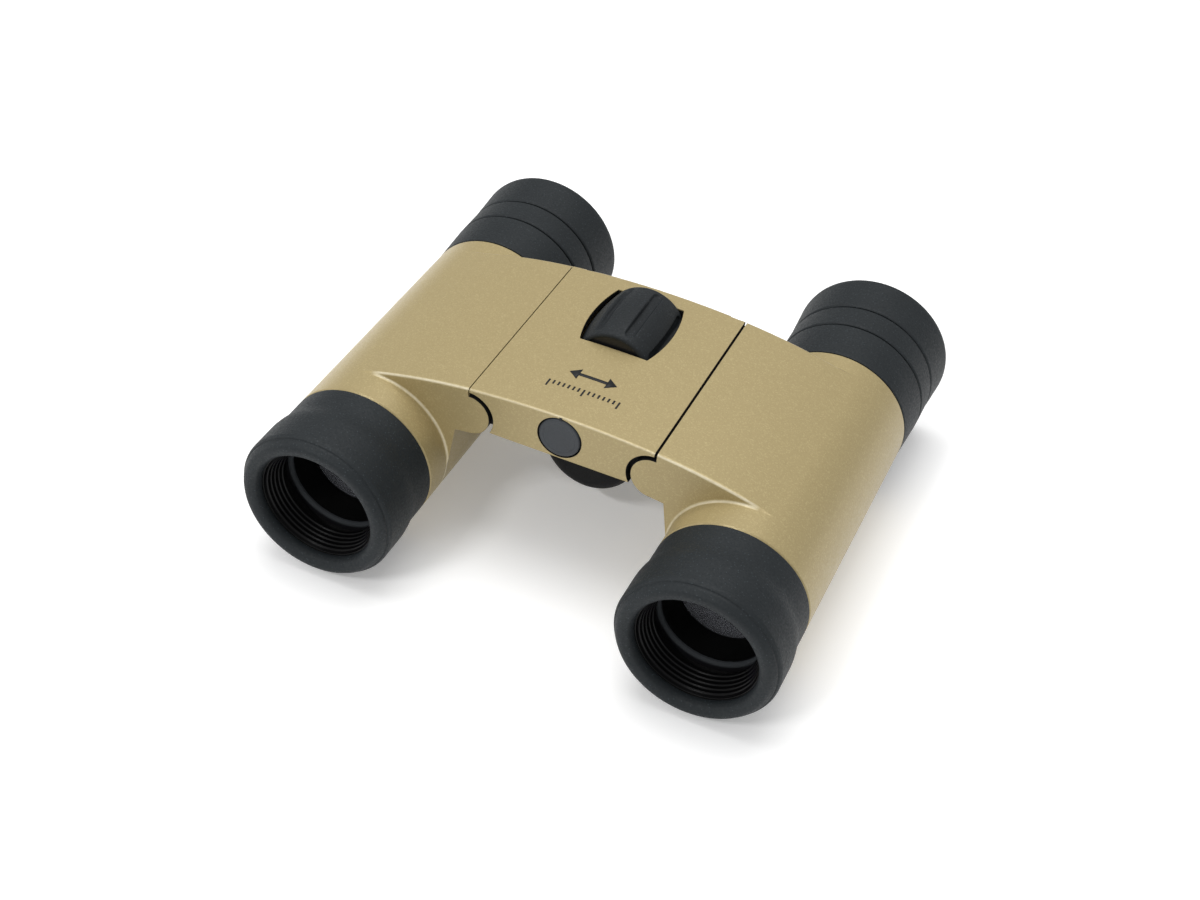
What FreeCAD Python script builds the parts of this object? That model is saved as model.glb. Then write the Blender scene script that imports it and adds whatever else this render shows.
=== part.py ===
import FreeCAD, Part
import math
import os
from FreeCAD import Vector

# Compact folding binoculars with a central focus bridge and two straight, roof-prism barrels.
# Frame: millimetres, +Z up, objectives towards -Y, eyepieces towards +Y. The origin is the
# middle of the footprint on the surface that the barrels lie on. "Left" and "right" are the
# user's: looking through the eyepieces towards -Y, the left barrel is on the +X side.

# ---- driving dimensions -------------------------------------------------------------------
axis_spacing = 72.0            # between the two optical axes, fully unfolded
barrel_radius = 14.36          # painted body tube
axis_height = 15.4             # the widest eyecup edge touches the ground
barrel_x = axis_spacing / 2

rim_y = -48.1                  # front face of the objective armour
collar_front_y = -31.0         # painted tube starts behind the front armour
arm_front_y = -24.75           # front plane of the bridge and of both arms
arm_back_y = 18.3              # back plane of the bridge and of both arms
collar_back_y = 22.8           # painted tube ends, eyepiece armour starts
groove_1_y = 31.98             # joint between eyepiece armour and dioptre ring
groove_2_y = 38.35             # joint between dioptre ring and eyecup
eyecup_end_y = 48.2
groove_gap = 0.35

hinge_x = 17.7                 # fold axes, parallel to Y
hinge_z = 28.1
knuckle_radius = 4.1
notch_radius = 4.95
pocket_radius = 4.35
lug_radius = 3.9
hinge_pin_radius = 1.5
running_gap = 0.06             # radial clearance of pins, journals and the sliding cells

bridge_top_z = 34.7
bridge_bottom_z = 25.6
bridge_crown_radius = 174.5
bridge_edge_round = 0.45
arm_edge_round = 0.6           # also the root fillet where the arm meets the tube
bridge_seam_x = 17.6
arm_seam_x = 17.8
open_seam_x = 18.05            # the left arm closes less tightly against the bridge
arm_crown_radius = 110.97
arm_tangent_angle = math.radians(17.84)

spindle_z = 30.05              # focus wheel axis
wheel_front_y = -2.5
wheel_back_y = 14.2
wheel_end_radius = 7.5
wheel_crown_radius = 8.2
wheel_core_radius = 6.6
wheel_slots = 8
thread_radius = 2.0
journal_radius = 1.5
focus_travel = 2.0             # each way, for half a turn of the wheel

front_bore = 11.3              # guide bore of the objective cell
front_spigot = 12.6            # tube under the objective armour
cell_radius = 11.2
chamber_radius = 13.2          # bore for the prism cage and the eyepiece housing
chamber_front_y = -10.0
drive_y = -14.0                # middle of the focus fork, on both fold axes
drive_pin_radius = 1.2

prism_size = 12.0              # aperture of the roof-prism pair
neck_radius = 10.6             # eyepiece housing behind the armour
ocular_bore = 8.7

PARTS = {}


# ---- helpers ------------------------------------------------------------------------------
def path_edges(start, steps, place):
    """Edges of a closed outline. A step is a point, or a (through, end) pair for an arc."""
    edges = []
    here = start
    for step in list(steps) + [start]:
        if isinstance(step[0], tuple):
            through, end = step
            edges.append(Part.Arc(place(here), place(through), place(end)).toShape())
            here = end
        elif math.dist(here, step) > 1e-7:
            edges.append(Part.LineSegment(place(here), place(step)).toShape())
            here = step
    return edges


def turned(start, *steps):
    """A solid of revolution about the barrel axis, from (radius, y) points."""
    wire = Part.Wire(path_edges(start, steps, lambda p: Vector(p[0], p[1], 0)))
    return Part.Face(wire).revolve(Vector(0, 0, 0), Vector(0, 1, 0), 360)


def extruded(start, *steps, y0, y1):
    """A prism along Y from (x, z) points."""
    wire = Part.Wire(path_edges(start, steps, lambda p: Vector(p[0], y0, p[1])))
    return Part.Face(wire).extrude(Vector(0, y1 - y0, 0))


def rod(radius, y0, y1, x=0.0, z=0.0):
    return Part.makeCylinder(radius, y1 - y0, Vector(x, y0, z), Vector(0, 1, 0))


def ring(outer, inner, y0, y1, x=0.0, z=0.0):
    return rod(outer, y0, y1, x, z).cut(rod(inner, y0, y1, x, z))


def block(x0, x1, y0, y1, z0, z1):
    return Part.makeBox(x1 - x0, y1 - y0, z1 - z0, Vector(x0, y0, z0))


def on_barrel(shape):
    """Move a piece from the Y axis to the left barrel's optical axis."""
    moved = shape.copy()
    moved.translate(Vector(barrel_x, 0, axis_height))
    return moved


def mirrored(shape):
    return shape.mirror(Vector(0, 0, 0), Vector(1, 0, 0))


def at_plane(edge, y):
    box = edge.BoundBox
    return box.YLength < 1e-4 and abs(box.YMin - y) < 1e-3


def arcs_of_radius(shape, radius, y):
    """The round edges of one radius that lie in one cross-section plane."""
    found = []
    for edge in shape.Edges:
        if at_plane(edge, y) and isinstance(edge.Curve, Part.Circle):
            if abs(edge.Curve.Radius - radius) < 1e-2:
                found.append(edge)
    return found


def both_sides(shape):
    return Part.makeCompound([shape, mirrored(shape)])


def lens(radius, y_front, y_back, front_sag, back_sag):
    """A lens on the Y axis. A positive sag bulges outwards, a negative one is hollow."""

    def arc_middle(sag):
        sphere = (radius ** 2 + sag ** 2) / (2 * abs(sag))
        depth = sphere - math.sqrt(sphere ** 2 - (radius / 2) ** 2)
        return math.copysign(abs(sag) - depth, sag)

    front_vertex = (0, y_front - front_sag)
    back_vertex = (0, y_back + back_sag)
    front_arc = ((radius / 2, y_front - arc_middle(front_sag)), (radius, y_front))
    back_arc = ((radius / 2, y_back + arc_middle(back_sag)), back_vertex)
    return turned(front_vertex, front_arc, (radius, y_back), back_arc)


# ---- the bridge ---------------------------------------------------------------------------
def crown_z(x):
    """Height of the bridge's crowned top at a distance x from the middle."""
    return bridge_top_z - bridge_crown_radius + math.sqrt(bridge_crown_radius ** 2 - x ** 2)


def bridge_block():
    notch_top = hinge_z + math.sqrt(notch_radius ** 2 - (hinge_x - bridge_seam_x) ** 2)
    foot_x = hinge_x - math.sqrt(notch_radius ** 2 - (hinge_z - bridge_bottom_z) ** 2)
    seam_z = crown_z(bridge_seam_x)
    return extruded(
        (-bridge_seam_x, seam_z),
        ((0, bridge_top_z), (bridge_seam_x, seam_z)),
        (bridge_seam_x, notch_top),
        ((hinge_x - notch_radius, hinge_z), (foot_x, bridge_bottom_z)),
        (-foot_x, bridge_bottom_z),
        ((notch_radius - hinge_x, hinge_z), (-bridge_seam_x, notch_top)),
        y0=arm_front_y, y1=arm_back_y)


window_front_y = -2.8
window_back_y = 14.5
window_end_half = 6.65
window_middle_half = 8.0


def window_cutter():
    """The focus wheel shows through an opening with bowed sides."""
    middle_y = (window_front_y + window_back_y) / 2
    corners = [(-window_end_half, window_front_y), (window_end_half, window_front_y)]
    steps = [
        corners[1],
        ((window_middle_half, middle_y), (window_end_half, window_back_y)),
        (-window_end_half, window_back_y),
        ((-window_middle_half, middle_y), corners[0]),
    ]
    wire = Part.Wire(path_edges(corners[0], steps, lambda p: Vector(p[0], p[1], 31.0)))
    return Part.Face(wire).extrude(Vector(0, 0, 6))


front_wall_y = -20.2           # inner face of the bridge's front wall
rear_wall_y = 14.7             # inner face of the bridge's rear wall
cavity_half = 9.0
cavity_top_z = 33.3
cover_half = 11.6
cover_front_y = -22.8
cover_back_y = arm_back_y       # flush with the back of the bridge
cover_thickness = 1.2
cap_radius = 3.95
cap_recess_depth = 2.15
bush_radius = 3.0
lug_spans = [(-22.8, -19.8), (8.8, 13.2)]
pocket_spans = [(-23.0, -8.5), (8.5, 13.5)]
screw_places = [(-7.0, -21.4), (7.0, -21.4), (-7.0, 17.0), (7.0, 17.0)]
screw_radius = 0.7
screw_head_radius = 1.1


def bridge_shell():
    """Painted bridge: crowned top, wheel window, hinge lugs, open below for the cover."""
    shell = bridge_block()
    crown_edges = []
    for y in (arm_front_y, arm_back_y):
        crown_edges += arcs_of_radius(shell, bridge_crown_radius, y)
    shell = shell.makeFillet(bridge_edge_round, crown_edges)
    lugs = []
    for y0, y1 in lug_spans:
        for side in (-1, 1):
            lugs.append(rod(lug_radius, y0, y1, side * hinge_x, hinge_z))
            web = block(12.4, hinge_x, y0, y1, hinge_z - 2.1, hinge_z + 2.6)
            lugs.append(web if side > 0 else mirrored(web))
    shell = shell.fuse(lugs)
    cutters = [
        window_cutter(),
        block(-cavity_half, cavity_half, front_wall_y, rear_wall_y, 24.0, cavity_top_z),
        block(-cover_half, cover_half, cover_front_y, cover_back_y,
              bridge_bottom_z - 1, bridge_bottom_z + cover_thickness),
        rod(cap_radius + 0.25, arm_front_y - 1, arm_front_y + cap_recess_depth, 0, spindle_z),
        rod(bush_radius, arm_front_y, front_wall_y, 0, spindle_z),
        rod(bush_radius, rear_wall_y, rear_wall_y + 2.4, 0, spindle_z),
        at_spindle(wheel_outline(0.3)),
    ]
    for side in (-1, 1):
        slot = block(8.5, hinge_x - 1, drive_y - 5.5, drive_y + 5.5, 26.9, 29.4)
        cutters.append(slot if side > 0 else mirrored(slot))
        cutters.append(rod(hinge_pin_radius, -24, 18, side * hinge_x, hinge_z))
    for x, y in screw_places:
        cutters.append(Part.makeCylinder(screw_radius, 4, Vector(x, y, bridge_bottom_z)))
    return shell.cut(cutters).removeSplitter()


pod_front_y = -11.6
pod_back_y = 15.8
pod_half = 9.8
pod_side_z = 18.4              # the sides run straight down to here, then round under
pod_depth = 11.0
pod_wall = 1.2


def pod_solid(inset, top_z):
    """The rounded belly under the bridge, drawn in by an inset on every side but the top."""
    half = pod_half - inset
    depth = pod_depth - inset
    shoulder = math.radians(45)
    quarter = (half * math.sin(shoulder), pod_side_z - depth * math.cos(shoulder))
    bottom = (0, pod_side_z - depth)
    flank = math.radians(22.5)
    low = (half * math.sin(flank), pod_side_z - depth * math.cos(flank))
    high = (half * math.cos(flank), pod_side_z - depth * math.sin(flank))
    return extruded(
        (half, top_z), (half, pod_side_z), (high, quarter), (low, bottom),
        ((-low[0], low[1]), (-quarter[0], quarter[1])),
        ((-high[0], high[1]), (-half, pod_side_z)), (-half, top_z),
        y0=pod_front_y + inset, y1=pod_back_y - inset)


def underside_cover():
    """Black moulded belly that closes the bridge from below and is the rest for the thumbs."""
    outer = pod_solid(0, bridge_bottom_z + cover_thickness)
    end_edges = []
    for edge in outer.Edges:
        box = edge.BoundBox
        flat = box.YLength < 1e-6
        if flat and box.ZMax < bridge_bottom_z and box.XLength > 1:
            end_edges.append(edge)
    try:
        outer = outer.makeFillet(2.4, end_edges)
    except Part.OCCError:
        outer = pod_solid(0, bridge_bottom_z + cover_thickness)
    flange = block(-cover_half, cover_half, cover_front_y, cover_back_y,
                   bridge_bottom_z, bridge_bottom_z + cover_thickness)
    cover = outer.fuse(flange).cut(pod_solid(pod_wall, bridge_bottom_z + cover_thickness + 1))
    holes = []
    for x, y in screw_places:
        holes.append(Part.makeCylinder(screw_radius, 3, Vector(x, y, bridge_bottom_z - 1)))
    return cover.cut(holes).removeSplitter()


def cover_screws():
    screws = []
    for x, y in screw_places:
        shank = Part.makeCylinder(screw_radius, 3.6, Vector(x, y, bridge_bottom_z))
        head = Part.makeCylinder(screw_head_radius, 0.7, Vector(x, y, bridge_bottom_z - 0.7))
        slot = block(x - 2, x + 2, y - 0.2, y + 0.2, bridge_bottom_z - 0.8, bridge_bottom_z - 0.4)
        screws.append(shank.fuse(head).cut(slot))
    return Part.makeCompound(screws)


def front_cap():
    """Plug over the front end of the focus spindle."""
    face = rod(cap_radius, arm_front_y - 0.2, arm_front_y + 1.75, 0, spindle_z)
    stub = rod(bush_radius, arm_front_y + 1.75, arm_front_y + 2.3, 0, spindle_z)
    relief = rod(1.9, arm_front_y + 1.75, arm_front_y + 2.3, 0, spindle_z)
    return face.fuse(stub).cut(relief).removeSplitter()


def front_spindle_bush():
    return ring(bush_radius, journal_radius + running_gap, arm_front_y + 2.3, front_wall_y,
                0, spindle_z)


def rear_spindle_bush():
    return ring(bush_radius, journal_radius + running_gap, rear_wall_y, rear_wall_y + 2.4,
                0, spindle_z)


def hinge_pins():
    pins = []
    for y0, y1 in ((-23.9, -19.8), (5.5, 16.5)):
        for side in (-1, 1):
            pins.append(rod(hinge_pin_radius, y0, y1, side * hinge_x, hinge_z))
    return Part.makeCompound(pins)


# ---- the focus wheel ----------------------------------------------------------------------
def at_spindle(shape):
    moved = shape.copy()
    moved.translate(Vector(0, 0, spindle_z))
    return moved


def wheel_outline(clearance):
    """The crowned wheel as one plain solid, grown by a clearance."""
    middle_y = (wheel_front_y + wheel_back_y) / 2
    end_radius = wheel_end_radius + clearance
    return turned((0, wheel_front_y - clearance), (end_radius, wheel_front_y - clearance),
                  ((wheel_crown_radius + clearance, middle_y),
                   (end_radius, wheel_back_y + clearance)),
                  (0, wheel_back_y + clearance))


def wheel_hub():
    inset = 0.2
    hub = turned((thread_radius, wheel_front_y + inset), (wheel_core_radius, wheel_front_y + inset),
                 (wheel_core_radius, wheel_back_y - inset), (thread_radius, wheel_back_y - inset))
    screw_hole = Part.makeCylinder(0.9, 8, Vector(0, 6, 0), Vector(0, 0, 1))
    return at_spindle(hub.cut(screw_hole))


def wheel_grip():
    """Rubber sleeve, crowned, with round-ended slots along it for the fingertip."""
    middle_y = (wheel_front_y + wheel_back_y) / 2
    edge = 0.7
    grip = turned(
        (wheel_core_radius, wheel_front_y), (wheel_end_radius - edge, wheel_front_y),
        ((wheel_end_radius - 0.2, wheel_front_y + 0.2), (wheel_end_radius, wheel_front_y + edge)),
        ((wheel_crown_radius, middle_y), (wheel_end_radius, wheel_back_y - edge)),
        ((wheel_end_radius - 0.2, wheel_back_y - 0.2), (wheel_end_radius - edge, wheel_back_y)),
        (wheel_core_radius, wheel_back_y))
    slot_half = 0.9
    slot_y0 = wheel_front_y + 2.1
    slot_y1 = wheel_back_y - 2.1
    slots = []
    for index in range(wheel_slots):
        floor = wheel_crown_radius - 0.75
        bar = block(-slot_half, slot_half, slot_y0, slot_y1, floor, floor + 3)
        for y in (slot_y0, slot_y1):
            bar = bar.fuse(Part.makeCylinder(slot_half, 3, Vector(0, y, floor)))
        bar.rotate(Vector(0, 0, 0), Vector(0, 1, 0), 16 + index * 360 / wheel_slots)
        slots.append(bar)
    return at_spindle(grip.cut(slots).removeSplitter())


def focus_spindle():
    """Steel shaft: front journal, coarse thread for the nut, wheel seat, rear journal."""
    pitch = 1.0
    outline = [(journal_radius, -22.3), (journal_radius, -19.4), (thread_radius, -19.4)]
    y = -19.0
    while y < -5.5:
        outline += [(thread_radius, y), (thread_radius - 0.4, y + pitch / 2)]
        y += pitch
    outline += [(thread_radius, y), (thread_radius, wheel_back_y), (journal_radius, wheel_back_y),
                (journal_radius, rear_wall_y + 2.3), (0, rear_wall_y + 2.3)]
    return at_spindle(turned((0, -22.3), *outline))


def spindle_circlip():
    clip = ring(2.9, journal_radius, -20.05, -19.45)
    return at_spindle(clip.cut(block(-0.8, 0.8, -21, -19, 0, 4)))


def wheel_thrust_washer():
    return at_spindle(ring(3.0, journal_radius, wheel_back_y + 0.05, wheel_back_y + 0.4))


def wheel_set_screw():
    screw = Part.makeCylinder(0.9, 3.6, Vector(0, 6, thread_radius), Vector(0, 0, 1))
    socket = Part.makeCylinder(0.4, 1, Vector(0, 6, thread_radius + 2.8), Vector(0, 0, 1))
    return at_spindle(screw.cut(socket))


# ---- the focus carriage -------------------------------------------------------------------
nut_radius = 3.1
nut_half = 2.2
fork_half = 3.2                # half of the carriage's length along Y
fork_slot_half = 1.7
fork_eye = 2.6


def focus_nut():
    nut = ring(nut_radius, thread_radius + running_gap, drive_y - nut_half, drive_y + nut_half)
    return at_spindle(nut)


def focus_crossbar():
    """Beam from the nut out to both fold axes, forked at each end round the cell's finger."""
    beam = block(-hinge_x, hinge_x, drive_y - fork_half, drive_y + fork_half,
                 hinge_z - 1, hinge_z + 1)
    hub = block(-4.4, 4.4, drive_y - fork_half, drive_y + fork_half, hinge_z - 1, 33.0)
    pieces = [hub]
    for side in (-1, 1):
        pieces.append(rod(fork_eye, drive_y - fork_half, drive_y + fork_half,
                          side * hinge_x, hinge_z))
    cutters = [
        rod(nut_radius, drive_y - nut_half, drive_y + nut_half, 0, spindle_z),
        rod(thread_radius + 0.2, drive_y - 5, drive_y + 5, 0, spindle_z),
    ]
    for side in (-1, 1):
        fork = block(hinge_x - 3.4, hinge_x + 4, drive_y - fork_slot_half,
                     drive_y + fork_slot_half, hinge_z - 4, hinge_z + 4)
        cutters.append(fork if side > 0 else mirrored(fork))
        cutters.append(rod(drive_pin_radius, drive_y - 5, drive_y + 5, side * hinge_x, hinge_z))
    return beam.fuse(pieces).cut(cutters).removeSplitter()


def drive_pins():
    return both_sides(rod(drive_pin_radius, drive_y - fork_half, drive_y + fork_half,
                          hinge_x, hinge_z))


# ---- a barrel, drawn on the left side -----------------------------------------------------
wall_angle = math.radians(9.6)  # where the arm's inner wall meets the tube, below the middle
arm_corner = (20.2, 23.7)


def arm_block(seam_x):
    """The arm: crowned top running tangent into the tube, knuckle, inner wall."""
    reach = arm_crown_radius - barrel_radius
    centre_x = barrel_x - reach * math.sin(arm_tangent_angle)
    centre_z = axis_height - reach * math.cos(arm_tangent_angle)

    def top(x):
        return (x, centre_z + math.sqrt(arm_crown_radius ** 2 - (x - centre_x) ** 2))

    tangent_x = barrel_x + barrel_radius * math.sin(arm_tangent_angle)
    wall_foot = (barrel_x - barrel_radius * math.cos(wall_angle),
                 axis_height - barrel_radius * math.sin(wall_angle))
    knuckle_top = hinge_z + math.sqrt(knuckle_radius ** 2 - (seam_x - hinge_x) ** 2)
    return extruded(
        top(seam_x), (top((seam_x + tangent_x) / 2), top(tangent_x)),
        (barrel_x, axis_height), wall_foot, arm_corner, (hinge_x, hinge_z - knuckle_radius),
        ((hinge_x - knuckle_radius, hinge_z), (seam_x, knuckle_top)),
        y0=arm_front_y, y1=arm_back_y)


def body_shell(seam_x):
    """Painted barrel: tube, front spigot for the armour, and the arm with its hinge knuckle."""
    bevel = 0.35
    tube = on_barrel(turned(
        (0, -45.9), (front_spigot, -45.9), (front_spigot, collar_front_y),
        (barrel_radius - bevel, collar_front_y), (barrel_radius, collar_front_y + bevel),
        (barrel_radius, collar_back_y - bevel), (barrel_radius - bevel, collar_back_y),
        (0, collar_back_y)))
    cutters = [
        on_barrel(rod(front_bore, -46, chamber_front_y)),
        on_barrel(rod(chamber_radius, chamber_front_y, collar_back_y)),
        rod(hinge_pin_radius + running_gap, -24.0, 16.7, hinge_x, hinge_z),
    ]
    for y0, y1 in pocket_spans:
        cutters.append(rod(pocket_radius, y0, y1, hinge_x, hinge_z))
    cutters.append(finger_bar(3.5, 1.75, 9.0, 22.0))
    shell = tube.fuse(arm_block(seam_x)).removeSplitter()
    for y in (arm_front_y, arm_back_y):
        rounded = arcs_of_radius(shell, barrel_radius, y)
        rounded += arcs_of_radius(shell, arm_crown_radius, y)
        shell = shell.makeFillet(arm_edge_round, rounded)
    return shell.cut(cutters).removeSplitter()


def finger_bar(half_length, half_width, from_radius, to_radius):
    """A bar that runs from the barrel axis towards the fold axis, at the drive position."""
    bar = block(from_radius, to_radius, drive_y - half_length, drive_y + half_length,
                -half_width, half_width)
    angle = math.degrees(math.atan2(hinge_z - axis_height, hinge_x - barrel_x))
    bar.rotate(Vector(0, 0, 0), Vector(0, 1, 0), -angle)
    return on_barrel(bar)


def objective_armour():
    """Moulded rubber sleeve: flush behind, a little fuller in front, with a rolled lip."""
    full = 14.95
    return on_barrel(turned(
        (front_spigot, collar_front_y), (barrel_radius, collar_front_y), (barrel_radius, -36.9),
        ((14.55, -37.7), (full, -38.6)), (full, -45.6),
        ((14.32, -47.45), (12.9, rim_y)), ((11.75, -47.7), (11.17, -46.6)),
        (11.17, -45.9), (front_spigot, -45.9)))


def glare_baffle():
    """Ridged black ring in the mouth, stepping down from the lip to the lens cell."""
    outline = [(front_bore, -45.9), (10.9, -45.9)]
    steps = 5
    step_length = 0.86
    for index in range(steps):
        y = -45.5 + index * step_length
        radius = 10.85 - index * 0.34
        outline += [(radius, y), (radius - 0.22, y + 0.25), (radius - 0.22, y + step_length)]
    last_radius = outline[-1][0]
    outline += [(last_radius, -41.15), (front_bore, -41.15)]
    return on_barrel(turned(outline[0], *outline[1:]))


def objective_cell():
    """Sliding tube for the objective lens, with a finger that the focus fork pushes."""
    tube = on_barrel(turned(
        (10.2, -38.9), (cell_radius, -38.9), (cell_radius, drive_y + 1.5), (10.0, drive_y + 1.5),
        (10.0, -26.1), (9.2, -26.1), (9.2, -27.3), (10.2, -27.3)))
    finger = finger_bar(1.5, 1.5, 10.6, 20.6)
    eye = rod(fork_eye, drive_y - 1.5, drive_y + 1.5, hinge_x, hinge_z)
    hole = rod(drive_pin_radius + running_gap, drive_y - 5, drive_y + 5, hinge_x, hinge_z)
    return tube.fuse([finger, eye]).cut(hole).removeSplitter()


def objective_crown_lens():
    return on_barrel(lens(10.15, -32.8, -30.5, 1.25, 0.9))


def objective_flint_lens():
    return on_barrel(lens(10.15, -30.5, -27.3, -0.9, -0.35))


def objective_ring():
    """Threaded ring that holds both objective lenses in the cell, with a tapering inside."""
    return on_barrel(turned((10.2, -38.9), (9.9, -38.9), (9.6, -38.4), (9.6, -37.6),
                            (8.3, -33.9), (8.3, -33.35), (10.2, -33.35)))


cage_radius = 13.15
cage_front_y = chamber_front_y
cage_back_y = 16.8
prism_front_y = -4.4


def prism_cage():
    """Moulded carrier that holds the prism pair square to the optical axis."""
    body = rod(cage_radius, cage_front_y, cage_back_y)
    length = 1.2 * prism_size + 0.3
    pocket = block(-6.05, 6.05, prism_front_y, prism_front_y + length, -10.9, 10.9)
    windows = rod(5.8, cage_front_y - 1, cage_back_y + 1)
    reliefs = [ring(20, 9.5, -9, -5.6), ring(20, 9.5, 11.0, 15.5)]
    return on_barrel(body.cut([pocket, windows] + reliefs))


def prism_face(points):
    """Side outline of a prism: (along the axis, height) in units of the prism size."""
    corners = [Vector(0, prism_front_y + u * prism_size, v * prism_size) for u, v in points]
    return Part.Face(Part.makePolygon(corners + [corners[0]]))


def half_penta_prism():
    outline = prism_face([(0, 0.5), (0, -0.5), (0.95, -0.8935), (0.95, -0.45)])
    prism = outline.extrude(Vector(prism_size, 0, 0))
    prism.translate(Vector(-prism_size / 2, 0, 0))
    return on_barrel(prism)


def roof_prism():
    """Schmidt prism: its long top is a roof, two faces at a right angle."""
    air_gap = 0.025
    apex = (1.2, -0.7 + air_gap)
    side = 1.5
    slope = side * math.sqrt(0.5)
    outline = prism_face([apex, (1.2, apex[1] + side), (1.2 - slope, apex[1] + slope)])
    prism = outline.extrude(Vector(prism_size, 0, 0))
    prism.translate(Vector(-prism_size / 2, 0, 0))
    ridge_start = Vector(0, prism_front_y + (1.2 - slope) * prism_size,
                         (apex[1] + slope) * prism_size)
    ridge_end = Vector(0, prism_front_y + 1.2 * prism_size, (apex[1] + side) * prism_size)
    along = (ridge_end - ridge_start).normalize()
    across = Vector(1, 0, 0)
    up = across.cross(along)
    start = ridge_start - along * 10
    half = prism_size / 2
    gable = [start, start - across * half - up * half, start - across * half - up * 40,
             start + across * half - up * 40, start + across * half - up * half]
    house = Part.Face(Part.makePolygon(gable + [gable[0]])).extrude(along * 40)
    return on_barrel(prism.common(house))


def prism_clip():
    """Spring strap that presses the prisms into the carrier."""
    strap = block(-3, 3, prism_front_y + 0.1, prism_front_y + 14.5, 10.3, 10.7)
    leg = block(-3, 3, prism_front_y + 0.1, prism_front_y + 0.5, 7.5, 10.7)
    return on_barrel(strap.fuse(leg).removeSplitter())


housing_front_y = 17.0
stop_y = 18.5
neck_end_y = 41.3


def eyepiece_housing(slotted):
    """Black tube screwed into the back of the barrel. The right one has a slot for the pin."""
    housing = turned(
        (6.5, housing_front_y), (chamber_radius, housing_front_y), (chamber_radius, collar_back_y),
        (12.7, collar_back_y), (12.7, groove_1_y - 0.1), (neck_radius, groove_1_y - 0.1),
        (neck_radius, neck_end_y), (ocular_bore, neck_end_y), (ocular_bore, stop_y),
        (6.5, stop_y))
    if slotted:
        housing = housing.cut(block(-0.95, 0.95, 33.2, 37.2, 7, 12))
    return on_barrel(housing)


def field_stop():
    return on_barrel(ring(ocular_bore, 5.2, stop_y, stop_y + 0.8))


ocular_lens_radius = 7.5
ocular_front_y = 21.6
ocular_back_y = 40.2


def eyepiece_cell():
    """Inner tube that carries the eyepiece lenses."""
    outer = ocular_bore - running_gap
    return on_barrel(turned(
        (ocular_lens_radius, ocular_front_y), (outer, ocular_front_y), (outer, ocular_back_y),
        (ocular_lens_radius, ocular_back_y), (ocular_lens_radius, 34.0), (6.6, 34.0),
        (6.6, 26.6), (ocular_lens_radius, 26.6)))


def field_lens():
    return on_barrel(lens(ocular_lens_radius, 23.4, 26.6, 1.3, -0.3))


def eye_lens():
    return on_barrel(lens(ocular_lens_radius, 34.35, 38.3, 1.2, 1.0))


def eye_lens_ring():
    return on_barrel(turned((ocular_lens_radius, 38.5), (ocular_lens_radius, ocular_back_y),
                            (7.2, ocular_back_y), (6.9, 39.5), (6.9, 38.5)))


def eyepiece_armour():
    end = groove_1_y - groove_gap / 2
    return on_barrel(turned(
        (12.7, collar_back_y), (14.4, collar_back_y), (14.86, end - 0.3), (14.66, end),
        (12.7, end)))


def grip_ring(inner):
    start = groove_1_y + groove_gap / 2
    end = groove_2_y - groove_gap / 2
    return on_barrel(turned(
        (inner, start), (14.66, start), (14.86, start + 0.3), (14.89, end - 0.3), (14.69, end),
        (inner, end)))


collar_radius = 13.0


def dioptre_collar():
    """Ring core that turns on the housing. Its inside groove drives the eyepiece pin."""
    start = groove_1_y + groove_gap / 2 + 0.1
    end = groove_2_y - groove_gap / 2 - 0.1
    inner = neck_radius + running_gap
    collar = ring(collar_radius, inner, start, end)
    return on_barrel(collar.cut(ring(11.9, inner, 33.1, 37.3)))


def dioptre_pin():
    pin = Part.makeCylinder(0.8, 3.0, Vector(0, 35.2, 8.4), Vector(0, 0, 1))
    return on_barrel(pin.cut(rod(ocular_bore - running_gap, 30, 40)))


def eyecup():
    """Soft rubber cup with a thin flared wall that folds down for spectacle wearers."""
    start = groove_2_y + groove_gap / 2
    return on_barrel(turned(
        (neck_radius, start), (14.69, start), (14.9, start + 0.3), (15.4, 47.2),
        ((15.05, 47.95), (14.3, eyecup_end_y)), (13.3, eyecup_end_y),
        ((12.8, 48.0), (12.6, 47.5)), (12.6, 41.6), (neck_radius, 41.6)))


# ---- the node list ------------------------------------------------------------------------
def add_bridge():
    PARTS["bridge_shell"] = bridge_shell()
    PARTS["underside_cover"] = underside_cover()
    PARTS["cover_screws"] = cover_screws()
    PARTS["front_cap"] = front_cap()
    PARTS["front_spindle_bush"] = front_spindle_bush()
    PARTS["rear_spindle_bush"] = rear_spindle_bush()
    PARTS["hinge_pins"] = hinge_pins()


def add_focus_drive():
    PARTS["focus_wheel_hub"] = wheel_hub()
    PARTS["focus_wheel_grip"] = wheel_grip()
    PARTS["focus_spindle"] = focus_spindle()
    PARTS["spindle_circlip"] = spindle_circlip()
    PARTS["wheel_thrust_washer"] = wheel_thrust_washer()
    PARTS["wheel_set_screw"] = wheel_set_screw()
    PARTS["focus_nut"] = focus_nut()
    PARTS["focus_crossbar"] = focus_crossbar()
    PARTS["drive_pins"] = drive_pins()


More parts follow.
